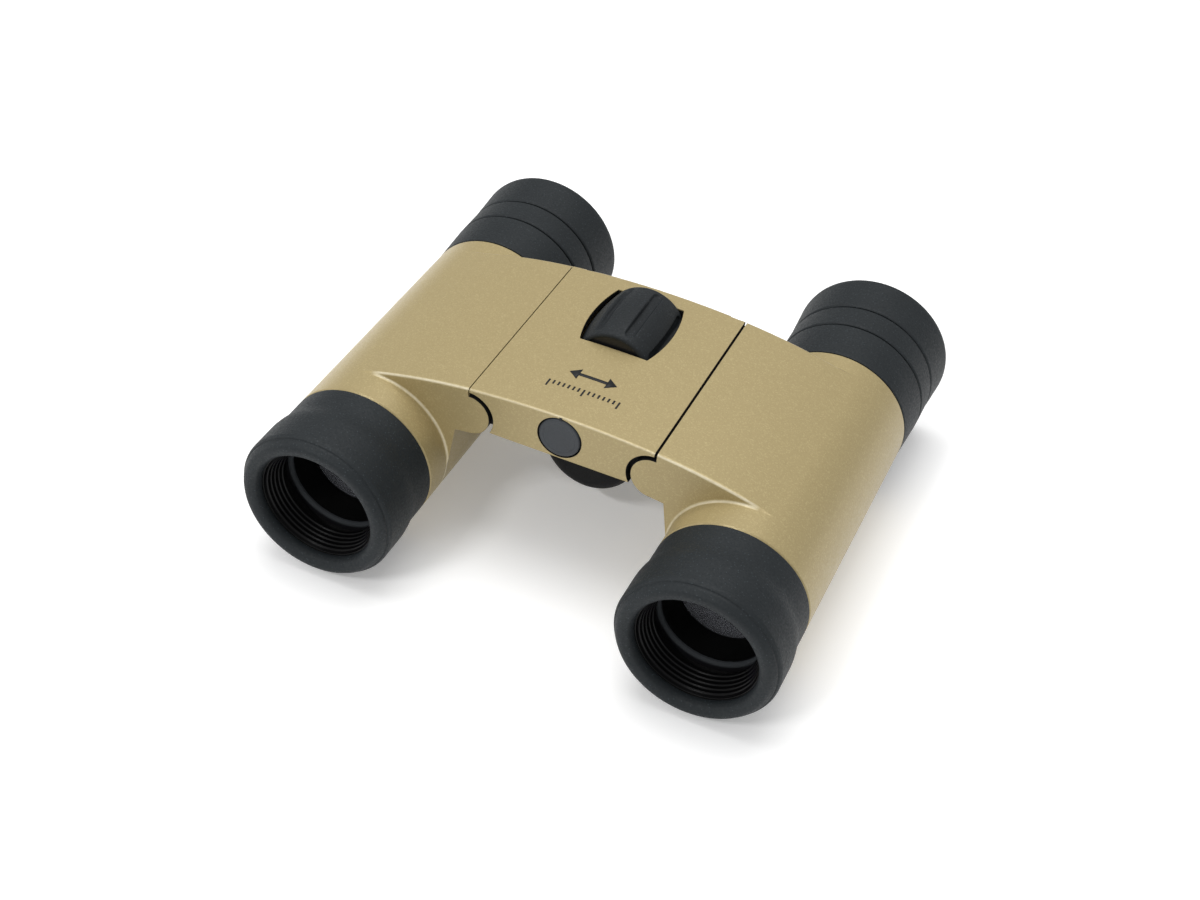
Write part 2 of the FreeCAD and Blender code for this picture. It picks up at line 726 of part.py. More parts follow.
def add_barrels():
    """Both barrels hold the same pieces. Only the right one has the dioptre adjustment."""
    shared = {
        "objective_armour": objective_armour(),
        "glare_baffle": glare_baffle(),
        "objective_cell": objective_cell(),
        "objective_crown_lens": objective_crown_lens(),
        "objective_flint_lens": objective_flint_lens(),
        "objective_ring": objective_ring(),
        "prism_cage": prism_cage(),
        "half_penta_prism": half_penta_prism(),
        "roof_prism": roof_prism(),
        "prism_clip": prism_clip(),
        "field_stop": field_stop(),
        "eyepiece_cell": eyepiece_cell(),
        "field_lens": field_lens(),
        "eye_lens": eye_lens(),
        "eye_lens_ring": eye_lens_ring(),
        "eyepiece_armour": eyepiece_armour(),
        "eyecup": eyecup(),
    }
    for name, shape in shared.items():
        PARTS["left_" + name] = shape
        PARTS["right_" + name] = mirrored(shape)
    PARTS["left_body_shell"] = body_shell(open_seam_x)
    PARTS["right_body_shell"] = mirrored(body_shell(arm_seam_x))
    PARTS["left_eyepiece_housing"] = eyepiece_housing(slotted=False)
    PARTS["right_eyepiece_housing"] = mirrored(eyepiece_housing(slotted=True))
    PARTS["left_trim_ring"] = grip_ring(neck_radius)
    PARTS["right_dioptre_ring"] = mirrored(grip_ring(collar_radius))
    PARTS["right_dioptre_collar"] = mirrored(dioptre_collar())
    PARTS["right_dioptre_pin"] = mirrored(dioptre_pin())


add_bridge()
add_focus_drive()
add_barrels()

os.makedirs("parts", exist_ok=True)
for node, shape in PARTS.items():
    if not shape.isValid() or not shape.Solids:
        raise ValueError(node + " is not a valid solid")
    shape.exportStep("parts/" + node + ".step")
print(len(PARTS), "parts written")
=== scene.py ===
import math

import bmesh
import bpy
from mathutils import Matrix, Vector


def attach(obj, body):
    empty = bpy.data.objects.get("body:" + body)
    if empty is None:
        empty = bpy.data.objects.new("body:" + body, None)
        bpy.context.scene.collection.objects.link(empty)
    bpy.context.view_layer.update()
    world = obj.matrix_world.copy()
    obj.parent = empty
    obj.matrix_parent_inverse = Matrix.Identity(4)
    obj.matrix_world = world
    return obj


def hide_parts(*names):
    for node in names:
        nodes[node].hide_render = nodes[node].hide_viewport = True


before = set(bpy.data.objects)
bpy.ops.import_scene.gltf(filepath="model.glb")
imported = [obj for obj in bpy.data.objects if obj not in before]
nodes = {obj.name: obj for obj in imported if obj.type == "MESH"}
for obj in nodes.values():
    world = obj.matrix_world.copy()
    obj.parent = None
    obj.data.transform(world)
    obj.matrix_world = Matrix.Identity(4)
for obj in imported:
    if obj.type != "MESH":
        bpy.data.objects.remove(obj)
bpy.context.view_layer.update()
MM = 0.001

# ---- Camera, floor and light ---------------------------------------------------------------
# A plain product table: a pale matt floor under an even white tent, lit by an overhead softbox,
# a narrow strip in front for the rounded edges of the castings, and a weak panel on the left.
CAMERA_AT = Vector((91.844, -244.319, 232.254)) * MM
CAMERA_AZIMUTH = 0.366
CAMERA_ELEVATION = 0.709
CAMERA_ROLL = 0.094
CAMERA_LENS = 54.29

across = Vector((math.cos(CAMERA_AZIMUTH), math.sin(CAMERA_AZIMUTH), 0))
towards = Vector((math.sin(CAMERA_AZIMUTH) * math.cos(CAMERA_ELEVATION),
                  -math.cos(CAMERA_AZIMUTH) * math.cos(CAMERA_ELEVATION),
                  math.sin(CAMERA_ELEVATION)))
above = towards.cross(across)
rolled_across = across * math.cos(CAMERA_ROLL) + above * math.sin(CAMERA_ROLL)
rolled_above = above * math.cos(CAMERA_ROLL) - across * math.sin(CAMERA_ROLL)
camera_data = bpy.data.cameras.new("camera")
camera_data.lens = CAMERA_LENS
camera_data.sensor_width = 36
camera_data.sensor_fit = "HORIZONTAL"
camera_data.clip_start = 0.01
camera_data.clip_end = 20
camera = bpy.data.objects.new("camera", camera_data)
camera.matrix_world = Matrix.Translation(CAMERA_AT) @ Matrix(
    (rolled_across, rolled_above, towards)).transposed().to_4x4()
bpy.context.scene.collection.objects.link(camera)
bpy.context.scene.camera = camera
bpy.context.scene.view_settings.view_transform = "Standard"


def new_material(name, rough, metal=0.0, specular=0.5):
    """A material with its Principled shader: returns the material, its tree and the shader."""
    made = bpy.data.materials.new(name)
    made.use_nodes = True
    tree = made.node_tree
    shader = tree.nodes["Principled BSDF"]
    shader.inputs["Roughness"].default_value = rough
    shader.inputs["Metallic"].default_value = metal
    shader.inputs["Specular IOR Level"].default_value = specular
    return made, tree, shader


FLOOR_HALF = 3.0
FLOOR_Z = -0.0002
floor_mesh = bpy.data.meshes.new("floor")
floor_mesh.from_pydata([(-FLOOR_HALF, -FLOOR_HALF, FLOOR_Z), (FLOOR_HALF, -FLOOR_HALF, FLOOR_Z),
                        (FLOOR_HALF, FLOOR_HALF, FLOOR_Z), (-FLOOR_HALF, FLOOR_HALF, FLOOR_Z)],
                       [], [(0, 1, 2, 3)])
floor = bpy.data.objects.new("floor", floor_mesh)
bpy.context.scene.collection.objects.link(floor)
floor_material, _, floor_shader = new_material("pale_floor", 0.9, specular=0.1)
floor_shader.inputs["Base Color"].default_value = (0.95, 0.95, 0.95, 1)
floor_shader.inputs["Emission Color"].default_value = (1, 1, 1, 1)
floor_shader.inputs["Emission Strength"].default_value = 0.2
floor_mesh.materials.append(floor_material)


def softbox(name, place, aim, size, power):
    light_data = bpy.data.lights.new(name, "AREA")
    light_data.shape = "RECTANGLE"
    light_data.size, light_data.size_y = size
    light_data.energy = power
    light = bpy.data.objects.new(name, light_data)
    light.location = place
    light.rotation_euler = (Vector(aim) - Vector(place)).to_track_quat("-Z", "Y").to_euler()
    bpy.context.scene.collection.objects.link(light)


softbox("overhead_softbox", (-0.1, 0.15, 0.9), (0, 0, 0), (0.8, 0.6), 5.2)
softbox("front_strip", (-0.27, -0.70, 0.74), (0, 0, 0.03), (0.24, 0.04), 2.3)
softbox("left_panel", (-0.9, -0.2, 0.4), (0, 0, 0.02), (0.5, 0.5), 1.2)
world = bpy.data.worlds.new("studio")
bpy.context.scene.world = world
world.use_nodes = True
tent = world.node_tree
sky_point = tent.nodes.new("ShaderNodeTexCoord")
sky_axes = tent.nodes.new("ShaderNodeSeparateXYZ")
sky_ramp = tent.nodes.new("ShaderNodeMapRange")
sky_ramp.inputs["From Min"].default_value = -0.1
sky_ramp.inputs["From Max"].default_value = 0.8
sky_ramp.inputs["To Min"].default_value = 0.36
sky_ramp.inputs["To Max"].default_value = 0.62
tent.links.new(sky_point.outputs["Generated"], sky_axes.inputs["Vector"])
tent.links.new(sky_axes.outputs["Z"], sky_ramp.inputs["Value"])
sky_seen = tent.nodes.new("ShaderNodeLightPath")
sky_strength = tent.nodes.new("ShaderNodeMath")
sky_strength.operation = "MAXIMUM"
tent.links.new(sky_ramp.outputs["Result"], sky_strength.inputs[0])
tent.links.new(sky_seen.outputs["Is Camera Ray"], sky_strength.inputs[1])
tent.links.new(sky_strength.outputs["Value"], tent.nodes["Background"].inputs["Strength"])
tent.nodes["Background"].inputs["Color"].default_value = (1, 1, 1, 1)

# ---- Painted bridge and barrel castings ------------------------------------------------------
# Thin aluminium castings sprayed with a champagne metallic paint: a fine fleck under a satin
# lacquer with a little orange peel. A painted highlight runs pale along the rounded front and
# back edges. The bores are blackened; the seam faces, hinge notches, knuckle backs, cap recess
# and wheel window walls are painted black as shade.
FLOAT = "NodeSocketFloat"
COLOR = "NodeSocketColor"
HINGE_X, HINGE_Z = 17.7, 28.1
BARREL_X, AXIS_Z = 36.0, 15.4
SPINDLE_Z = 30.05
TUBE_RADIUS = 14.36
FRONT_PLANE, BACK_PLANE = -24.75, 18.3
CROWN_TOP, CROWN_RADIUS = 34.7, 174.5
ARM_RADIUS = 110.97
TANGENT_ANGLE = math.radians(17.84)
EDGE_END_X = BARREL_X + TUBE_RADIUS * math.sin(TANGENT_ANGLE) - 3.2
EDGE_FADE = 1.8
WINDOW_HALF, WINDOW_TOP = 8.35, 34.36
WINDOW_FRONT, WINDOW_BACK = -3.2, 14.9
NOTCH_EDGE, CAP_RECESS_EDGE = 4.99, 4.24
KNUCKLE_EDGE, KNUCKLE_SIDE = 4.06, 17.75
BORE_EDGE, SEAM_FOOT = 13.25, 32.1
MARGIN = 0.01
# Black of the blackened bores and of the painted shade in seams, notches and recesses.
SHADE_AND_BLACKING_COLOR = (0.004, 0.004, 0.004, 1)
# Pale cream of the painted highlight on the rounded edges of the castings.
EDGE_HIGHLIGHT_COLOR = (0.80, 0.74, 0.56, 1)
SIDES = (("left_", 1), ("right_", -1))


def new_group(name, inputs, outputs):
    """A shader node group with inputs (name, kind, default) and outputs (name, kind)."""
    group = bpy.data.node_groups.new(name, "ShaderNodeTree")
    for socket, kind, value in inputs:
        made = group.interface.new_socket(name=socket, in_out="INPUT", socket_type=kind)
        made.default_value = value
    for socket, kind in outputs:
        group.interface.new_socket(name=socket, in_out="OUTPUT", socket_type=kind)
    return group, group.nodes.new("NodeGroupInput"), group.nodes.new("NodeGroupOutput")


def wire(tree, value, socket):
    """Feed a socket from another socket, or set it to a plain value."""
    if isinstance(value, bpy.types.NodeSocket):
        tree.links.new(value, socket)
    else:
        socket.default_value = value


def maths(tree, operation, first, second=0.0):
    node = tree.nodes.new("ShaderNodeMath")
    node.operation = operation
    wire(tree, first, node.inputs[0])
    wire(tree, second, node.inputs[1])
    return node.outputs["Value"]


def stretch(tree, value, from_low, from_high, to_low=0.0, to_high=1.0):
    node = tree.nodes.new("ShaderNodeMapRange")
    wire(tree, value, node.inputs["Value"])
    for socket, number in (("From Min", from_low), ("From Max", from_high),
                           ("To Min", to_low), ("To Max", to_high)):
        wire(tree, number, node.inputs[socket])
    return node.outputs["Result"]


def blend_colors(tree, factor, first, second):
    node = tree.nodes.new("ShaderNodeMix")
    node.data_type = "RGBA"
    wire(tree, factor, node.inputs[0])
    wire(tree, first, node.inputs[6])
    wire(tree, second, node.inputs[7])
    return node.outputs[2]


def object_point(tree):
    return tree.nodes.new("ShaderNodeTexCoord").outputs["Object"]


def axes_in_mm(tree):
    """The x, y and z of a point of the piece where it lies at rest, in mm."""
    scaled = tree.nodes.new("ShaderNodeVectorMath")
    scaled.operation = "SCALE"
    wire(tree, object_point(tree), scaled.inputs[0])
    wire(tree, 1 / MM, scaled.inputs["Scale"])
    axes = tree.nodes.new("ShaderNodeSeparateXYZ")
    wire(tree, scaled.outputs["Vector"], axes.inputs["Vector"])
    return axes.outputs


def distance_in_section(tree, x, z, centre_x, centre_z):
    """Distance from an axis parallel to Y, in the cross-section."""
    along_x = maths(tree, "SUBTRACT", x, centre_x)
    along_z = maths(tree, "SUBTRACT", z, centre_z)
    square = maths(tree, "ADD", maths(tree, "MULTIPLY", along_x, along_x),
                   maths(tree, "MULTIPLY", along_z, along_z))
    return maths(tree, "SQRT", square)


def noise(tree, point, scale, detail=2.0):
    node = tree.nodes.new("ShaderNodeTexNoise")
    wire(tree, point, node.inputs["Vector"])
    wire(tree, scale, node.inputs["Scale"])
    node.inputs["Detail"].default_value = detail
    return node.outputs["Fac"]


def cells(tree, point, scale):
    node = tree.nodes.new("ShaderNodeTexVoronoi")
    wire(tree, point, node.inputs["Vector"])
    wire(tree, scale, node.inputs["Scale"])
    return node


def add_bump(tree, shader, height, strength, depth, under=None):
    """Put a relief on the shader's normal, on top of another relief if there is one."""
    node = tree.nodes.new("ShaderNodeBump")
    node.inputs["Strength"].default_value = strength
    node.inputs["Distance"].default_value = depth
    wire(tree, height, node.inputs["Height"])
    if under:
        wire(tree, under, node.inputs["Normal"])
    wire(tree, node.outputs["Normal"], shader.inputs["Normal"])
    return node.outputs["Normal"]


def place_group(tree, group, **values):
    """Put a group in a material. Its inputs are named with underscores for spaces."""
    placed = tree.nodes.new("ShaderNodeGroup")
    placed.node_tree = group
    for key, value in values.items():
        wire(tree, value, placed.inputs[key.replace("_", " ")])
    return placed


def make_fleck_group():
    """Metallic paint: a mosaic of flakes, some brighter and some darker than the paint."""
    group, entry, leave = new_group(
        "paint_fleck",
        [("Flakes per metre", FLOAT, 4600.0), ("Contrast", FLOAT, 0.4),
         ("Paint", COLOR, (0.45, 0.37, 0.19, 1)), ("Bright", COLOR, (0.7, 0.62, 0.42, 1)),
         ("Dark", COLOR, (0.3, 0.22, 0.09, 1))],
        [("Color", COLOR), ("Flake", FLOAT), ("Peel", FLOAT)])
    point = object_point(group)
    flakes = cells(group, point, entry.outputs["Flakes per metre"])
    split = group.nodes.new("ShaderNodeSeparateColor")
    wire(group, flakes.outputs["Color"], split.inputs["Color"])
    clouds = noise(group, point, 260.0, 4.0)
    bright = maths(group, "MULTIPLY", stretch(group, split.outputs["Red"], 0.7, 1.0),
                   entry.outputs["Contrast"])
    lit = blend_colors(group, bright, entry.outputs["Paint"], entry.outputs["Bright"])
    dark = maths(group, "MULTIPLY", stretch(group, split.outputs["Green"], 0.65, 1.0),
                 maths(group, "MULTIPLY", clouds, entry.outputs["Contrast"]))
    wire(group, blend_colors(group, dark, lit, entry.outputs["Dark"]), leave.inputs["Color"])
    wire(group, split.outputs["Blue"], leave.inputs["Flake"])
    wire(group, noise(group, point, 1500.0), leave.inputs["Peel"])
    return group


def make_bridge_painted_shade_group():
    """1 on the surfaces of the bridge that face a seam, a hinge notch, the wheel or the cap,
    where black is painted as the shade in those gaps and recesses.
    """
    group, entry, leave = new_group("bridge_painted_shade", [("Seam", FLOAT, 17.55)],
                                    [("Inside", FLOAT)])
    x, y, z = axes_in_mm(group)
    side = maths(group, "ABSOLUTE", x)
    seam = maths(group, "GREATER_THAN", x, entry.outputs["Seam"])
    notch = maths(group, "LESS_THAN", distance_in_section(group, side, z, HINGE_X, HINGE_Z),
                  NOTCH_EDGE)
    cap = maths(group, "LESS_THAN", distance_in_section(group, side, z, 0.0, SPINDLE_Z),
                CAP_RECESS_EDGE)
    window = maths(group, "MULTIPLY", maths(group, "LESS_THAN", side, WINDOW_HALF),
                   maths(group, "LESS_THAN", z, WINDOW_TOP))
    window = maths(group, "MULTIPLY", window, maths(group, "GREATER_THAN", y, WINDOW_FRONT))
    window = maths(group, "MULTIPLY", window, maths(group, "LESS_THAN", y, WINDOW_BACK))
    both = maths(group, "MAXIMUM", maths(group, "MAXIMUM", seam, notch),
                 maths(group, "MAXIMUM", cap, window))
    wire(group, both, leave.inputs["Inside"])
    return group


def make_barrel_shade_and_blacking_group():
    """1 on the bores, which are blackened, and on the seam face and the round back of the hinge
    knuckle, where black is painted as shade.
    """
    group, entry, leave = new_group("barrel_shade_and_blacking", [("Seam", FLOAT, 17.84)],
                                    [("Inside", FLOAT)])
    x, _, z = axes_in_mm(group)
    side = maths(group, "ABSOLUTE", x)
    seam = maths(group, "MULTIPLY", maths(group, "LESS_THAN", side, entry.outputs["Seam"]),
                 maths(group, "GREATER_THAN", z, SEAM_FOOT))
    knuckle = maths(group, "GREATER_THAN", distance_in_section(group, side, z, HINGE_X, HINGE_Z),
                    KNUCKLE_EDGE)
    knuckle = maths(group, "MULTIPLY", knuckle, maths(group, "LESS_THAN", side, KNUCKLE_SIDE))
    bore = maths(group, "LESS_THAN", distance_in_section(group, side, z, BARREL_X, AXIS_Z),
                 BORE_EDGE)
    wire(group, maths(group, "MAXIMUM", maths(group, "MAXIMUM", seam, knuckle), bore),
         leave.inputs["Inside"])
    return group


def make_edge_highlight_group():
    """1 along the rounded front and back edges of a crowned casting and on the fillet where the arm
    meets the tube: a painted highlight on those edges."""
    group, entry, leave = new_group(
        "painted_edge_highlight",
        [("Crown X", FLOAT, 0.0), ("Crown Z", FLOAT, 0.0), ("Crown radius", FLOAT, 100.0),
         ("Rounding", FLOAT, 0.6), ("Root", FLOAT, 0.0)],
        [("Edge", FLOAT)])
    x, y, z = axes_in_mm(group)
    side = maths(group, "ABSOLUTE", x)
    rounding = entry.outputs["Rounding"]
    crown = distance_in_section(group, side, z, entry.outputs["Crown X"],
                                entry.outputs["Crown Z"])
    crown_start = maths(group, "SUBTRACT", entry.outputs["Crown radius"], rounding)
    high = stretch(group, crown, crown_start, entry.outputs["Crown radius"])
    front = stretch(group, y, maths(group, "ADD", rounding, FRONT_PLANE), FRONT_PLANE)
    rear = stretch(group, y, maths(group, "SUBTRACT", BACK_PLANE, rounding), BACK_PLANE)
    on_arm = maths(group, "MULTIPLY",
                   maths(group, "GREATER_THAN", y, FRONT_PLANE - MARGIN),
                   maths(group, "LESS_THAN", y, BACK_PLANE + MARGIN))
    edge = maths(group, "MULTIPLY", maths(group, "MULTIPLY", high, on_arm),
                 maths(group, "MAXIMUM", front, rear))
    barrel = distance_in_section(group, side, z, BARREL_X, AXIS_Z)
    close = stretch(group, barrel, maths(group, "ADD", rounding, TUBE_RADIUS), TUBE_RADIUS)
    near = maths(group, "MULTIPLY",
                 stretch(group, y, maths(group, "SUBTRACT", FRONT_PLANE, rounding), FRONT_PLANE),
                 maths(group, "LESS_THAN", y, FRONT_PLANE + MARGIN))
    root = maths(group, "MULTIPLY", maths(group, "MULTIPLY", close, near),
                 entry.outputs["Root"])
    inward = stretch(group, side, EDGE_END_X, EDGE_END_X - EDGE_FADE)
    both = maths(group, "MULTIPLY", maths(group, "MAXIMUM", edge, root),
                 maths(group, "MULTIPLY", inward, 2.0))
    patchy = stretch(group, noise(group, object_point(group), 900.0), 0.3, 0.7, 0.65, 1.0)
    highlighted = group.nodes.new("ShaderNodeClamp")
    wire(group, maths(group, "MULTIPLY", both, patchy), highlighted.inputs["Value"])
    wire(group, highlighted.outputs["Result"], leave.inputs["Edge"])
    return group


PAINT_FLECK = make_fleck_group()
EDGE_HIGHLIGHT = make_edge_highlight_group()
BRIDGE_PAINTED_SHADE = make_bridge_painted_shade_group()
BARREL_SHADE_AND_BLACKING = make_barrel_shade_and_blacking_group()


def champagne_paint(name, shade_and_blacking_group, seam, crown, rounding, highlight, root):
    """Metallic paint: black bores, painted shade in gaps, a painted highlight along the crown's
    edges.
    """
    made, tree, shader = new_material(name, 0.42, 0.25, specular=0.35)
    fleck = place_group(tree, PAINT_FLECK, Flakes_per_metre=4800.0, Contrast=0.34,
                        Paint=(0.375, 0.298, 0.145, 1), Bright=(0.56, 0.47, 0.25, 1),
                        Dark=(0.25, 0.19, 0.085, 1))
    shade_and_blacking = place_group(tree, shade_and_blacking_group, Seam=seam).outputs["Inside"]
    centre_x, centre_z, radius = crown
    edge = place_group(tree, EDGE_HIGHLIGHT, Crown_X=centre_x, Crown_Z=centre_z,
                       Crown_radius=radius, Rounding=rounding, Root=root)
    # Painted highlight: the edge mask lightens the paint toward pale cream.
    highlighted = maths(tree, "MULTIPLY", edge.outputs["Edge"], highlight)
    color = blend_colors(tree, highlighted, fleck.outputs["Color"], EDGE_HIGHLIGHT_COLOR)
    # Black bores, plus painted shade on seam faces, hinge notches, knuckle backs and recesses.
    wire(tree, blend_colors(tree, shade_and_blacking, color, SHADE_AND_BLACKING_COLOR), shader.inputs["Base Color"])
    satin = stretch(tree, fleck.outputs["Flake"], 0.0, 1.0, 0.34, 0.5)
    wire(tree, maths(tree, "MAXIMUM", satin, maths(tree, "MULTIPLY", shade_and_blacking, 0.8)),
         shader.inputs["Roughness"])
    wire(tree, stretch(tree, shade_and_blacking, 0.0, 1.0, 0.25, 0.0), shader.inputs["Metallic"])
    flake_relief = add_bump(tree, shader, fleck.outputs["Flake"], 0.2, 0.02 * MM)
    add_bump(tree, shader, fleck.outputs["Peel"], 0.25, 0.04 * MM, under=flake_relief)
    shader.inputs["Coat Weight"].default_value = 0.08
    shader.inputs["Coat Roughness"].default_value = 0.3
    return made


def finish_node(name, material):
    """Give a carried CAD node its real finish."""
    mesh = nodes[name].data
    mesh.materials.clear()
    mesh.materials.append(material)


BRIDGE_CROWN = (0.0, CROWN_TOP - CROWN_RADIUS, CROWN_RADIUS)
ARM_REACH = ARM_RADIUS - TUBE_RADIUS
ARM_CROWN = (BARREL_X - ARM_REACH * math.sin(TANGENT_ANGLE),
             AXIS_Z - ARM_REACH * math.cos(TANGENT_ANGLE), ARM_RADIUS)
# The seam numbers set how far the painted seam shade reaches on each casting.
finish_node("bridge_shell", champagne_paint("paint_bridge", BRIDGE_PAINTED_SHADE, 17.58,
                                            BRIDGE_CROWN, 0.4, 0.4, 0.0))
for side, seam_x in (("left", 18.06), ("right", 17.70)):
    finish_node(side + "_body_shell", champagne_paint("paint_" + side, BARREL_SHADE_AND_BLACKING, seam_x,
                                                      ARM_CROWN, 0.45, 0.95, 0.8))

# ---- Printed focus mark -----------------------------------------------------------------------
# Pad-printed black ink on the bridge, between the wheel and the front edge: a double arrow for
# the way the wheel turns and a plain scale of ticks. The ink lies on the crowned paint.
INK = 0.03
ARROW_Y, ARROW_WIDTH = -12.4, 0.75
TICKS, TICK_Y, TICK_WIDTH = 15, -16.0, 0.34
SCALE_FROM, SCALE_LENGTH = -6.2, 13.4
LONG_TICK, SHORT_TICK, LONG_EVERY = 1.9, 1.05, 7


def crown_z(x):
    """Height of the crowned top of the bridge."""
    return CROWN_TOP - CROWN_RADIUS + math.sqrt(CROWN_RADIUS ** 2 - x ** 2)


def new_piece(name, mesh_builder, material, body):
    """Turn finished mesh data into a piece that rides on a body."""
    bmesh.ops.recalc_face_normals(mesh_builder, faces=mesh_builder.faces)
    mesh = bpy.data.meshes.new(name)
    mesh_builder.to_mesh(mesh)
    mesh_builder.free()
    mesh.shade_smooth()
    mesh.materials.append(material)
    piece = bpy.data.objects.new(name, mesh)
    bpy.context.scene.collection.objects.link(piece)
    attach(piece, body)
    return piece


def make_grain_group():
    """Moulded or blasted grain: a height, slow patches and sparse specks."""
    group, entry, leave = new_group(
        "surface_grain",
        [("Grain per metre", FLOAT, 4000.0), ("Patches per metre", FLOAT, 60.0),
         ("Specks per metre", FLOAT, 2500.0), ("Speck size", FLOAT, 0.1)],
        [("Height", FLOAT), ("Patch", FLOAT), ("Speck", FLOAT)])
    point = object_point(group)
    wire(group, noise(group, point, entry.outputs["Grain per metre"], 3.0),
         leave.inputs["Height"])
    wire(group, noise(group, point, entry.outputs["Patches per metre"], 3.0),
         leave.inputs["Patch"])
    spots = cells(group, point, entry.outputs["Specks per metre"])
    wire(group, maths(group, "LESS_THAN", spots.outputs["Distance"],
                      entry.outputs["Speck size"]), leave.inputs["Speck"])
    return group


SURFACE_GRAIN = make_grain_group()


def moulded_black(name, tint, rough, grain_depth, specular=0.35):
    made, tree, shader = new_material(name, rough, specular=specular)
    grain = place_group(tree, SURFACE_GRAIN, Grain_per_metre=4200.0, Patches_per_metre=150.0,
                        Specks_per_metre=1400.0, Speck_size=0.08)
    lighter = tuple(channel * 1.6 for channel in tint[:3]) + (1,)
    wire(tree, blend_colors(tree, grain.outputs["Patch"], tint, lighter),
         shader.inputs["Base Color"])
    wire(tree, stretch(tree, grain.outputs["Height"], 0.3, 0.7, rough - 0.08, rough + 0.1),
         shader.inputs["Roughness"])
    add_bump(tree, shader, grain.outputs["Height"], 0.35, grain_depth * MM)
    return made


PRINT_INK = moulded_black("print_ink", (0.008, 0.009, 0.010, 1), 0.6, 0.01)


def ink_stroke(builder, points, width):
    """A straight-sided ink stroke between two (x, y) points, in short lengths."""
    (x0, y0), (x1, y1) = points
    length = math.hypot(x1 - x0, y1 - y0)
    nx, ny = -(y1 - y0) / length * width / 2, (x1 - x0) / length * width / 2
    count = max(2, int(length / 0.5))
    rows = []
    for index in range(count + 1):
        t = index / count
        x, y = x0 + (x1 - x0) * t, y0 + (y1 - y0) * t
        rows.append([(x + nx, y + ny), (x - nx, y - ny)])
    ink_rows(builder, rows)


def ink_rows(builder, rows):
    """Skin rows of (x, y) points with quads, closed into a thin slab lying on the crown."""
    tops = [[builder.verts.new((x * MM, y * MM, (crown_z(x) + INK) * MM)) for x, y in row]
            for row in rows]
    feet = [[builder.verts.new((x * MM, y * MM, (crown_z(x) - INK) * MM)) for x, y in row]
            for row in rows]
    for index in range(len(rows) - 1):
        for layer in (tops, feet):
            builder.faces.new((layer[index][0], layer[index][1],
                               layer[index + 1][1], layer[index + 1][0]))
        for edge in (0, 1):
            builder.faces.new((tops[index][edge], tops[index + 1][edge],
                               feet[index + 1][edge], feet[index][edge]))
    for index in (0, -1):
        builder.faces.new((tops[index][0], tops[index][1], feet[index][1], feet[index][0]))


def print_focus_mark():
    arrow = bmesh.new()
    ink_stroke(arrow, ((-2.4, ARROW_Y), (3.3, ARROW_Y)), ARROW_WIDTH)
    for tip, base in ((-4.1, -2.2), (5.0, 3.1)):
        middle = (tip + base) / 2
        rows = [[(x, ARROW_Y + half), (x, ARROW_Y - half)]
                for x, half in ((tip, 0.04), (middle, 0.75), (base, 1.5))]
        ink_rows(arrow, rows)
    new_piece("printed_focus_arrow", arrow, PRINT_INK, "bridge")
    scale = bmesh.new()
    for index in range(TICKS):
        x = SCALE_FROM + index * SCALE_LENGTH / (TICKS - 1)
        height = LONG_TICK if index % LONG_EVERY == 0 else SHORT_TICK
        ink_stroke(scale, ((x, TICK_Y), (x, TICK_Y - height)), TICK_WIDTH)
    new_piece("printed_focus_scale", scale, PRINT_INK, "bridge")


print_focus_mark()

# ---- Dust seals as seam shade -------------------------------------------------------------------
# Thin black felt strips glued to the two seam faces of the bridge, filling the seam gaps with black
# as painted shade, thicker on the left. They close the gap beside the arms when the barrels are
# spread, and the arms swing away from them.
SEAM_SHADE_FELT = moulded_black("seam_shade_felt", (0.003, 0.003, 0.003, 1), 0.85, 0.08, specular=0.05)


SEAL_FACE, SEAL_FOOT, SEAL_TOP = 17.6, 33.12, 33.52
SEAL_FROM, SEAL_LENGTH, SEAL_STEPS = -24.3, 41.6, 42


def build_seam_shade_seals():
    # Each strip's thickness sets how dark its seam reads: painted shade in the gap.
    for name, sign, thickness in (("left_seam_shade_seal", 1, 0.30), ("right_seam_shade_seal", -1, 0.12)):
        profile = ((SEAL_FACE + 0.005, SEAL_FOOT), (SEAL_FACE + 0.005, SEAL_TOP),
                   (SEAL_FACE + 0.02 + thickness / 2, SEAL_TOP + 0.04),
                   (SEAL_FACE + thickness, SEAL_TOP - 0.06), (SEAL_FACE + thickness, SEAL_FOOT))
        strip = bmesh.new()
        rows = []
        for step in range(SEAL_STEPS + 1):
            y = SEAL_FROM + step * SEAL_LENGTH / SEAL_STEPS
            rows.append([strip.verts.new((sign * x * MM, y * MM, z * MM)) for x, z in profile])
        for here, there in zip(rows, rows[1:]):
            for point in range(len(profile)):
                after = (point + 1) % len(profile)
                strip.faces.new((here[point], here[after], there[after], there[point]))
        strip.faces.new(rows[0])
        strip.faces.new(rows[-1])
        new_piece(name, strip, SEAM_SHADE_FELT, "bridge")


build_seam_shade_seals()

# ---- Front cap --------------------------------------------------------------------------------
# Moulded grey-black nylon plug over the end of the focus spindle, with a shallow dished face and
# a raised rim, and a small key above the rim that stops it turning. Pressed in.
CAP_NYLON = moulded_black("cap_nylon", (0.030, 0.034, 0.039, 1), 0.5, 0.02)


def round_corners(corners, steps=6):
    """A closed outline from (radius, y, rounding) corners, with each corner rounded."""
    outline = []
    count = len(corners)
    for index, (r, y, rounding) in enumerate(corners):
        here = Vector((r, y))
        before = Vector(corners[index - 1][:2])
        after = Vector(corners[(index + 1) % count][:2])
        reach = min(rounding, 0.45 * (before - here).length, 0.45 * (after - here).length)
        start = here + (before - here).normalized() * reach
        end = here + (after - here).normalized() * reach
        if reach < 1e-4:
            outline.append(here)
            continue
        for step in range(steps + 1):
            t = step / steps
            outline.append(start * (1 - t) ** 2 + here * 2 * t * (1 - t) + end * t ** 2)
    return hold_flats(outline)


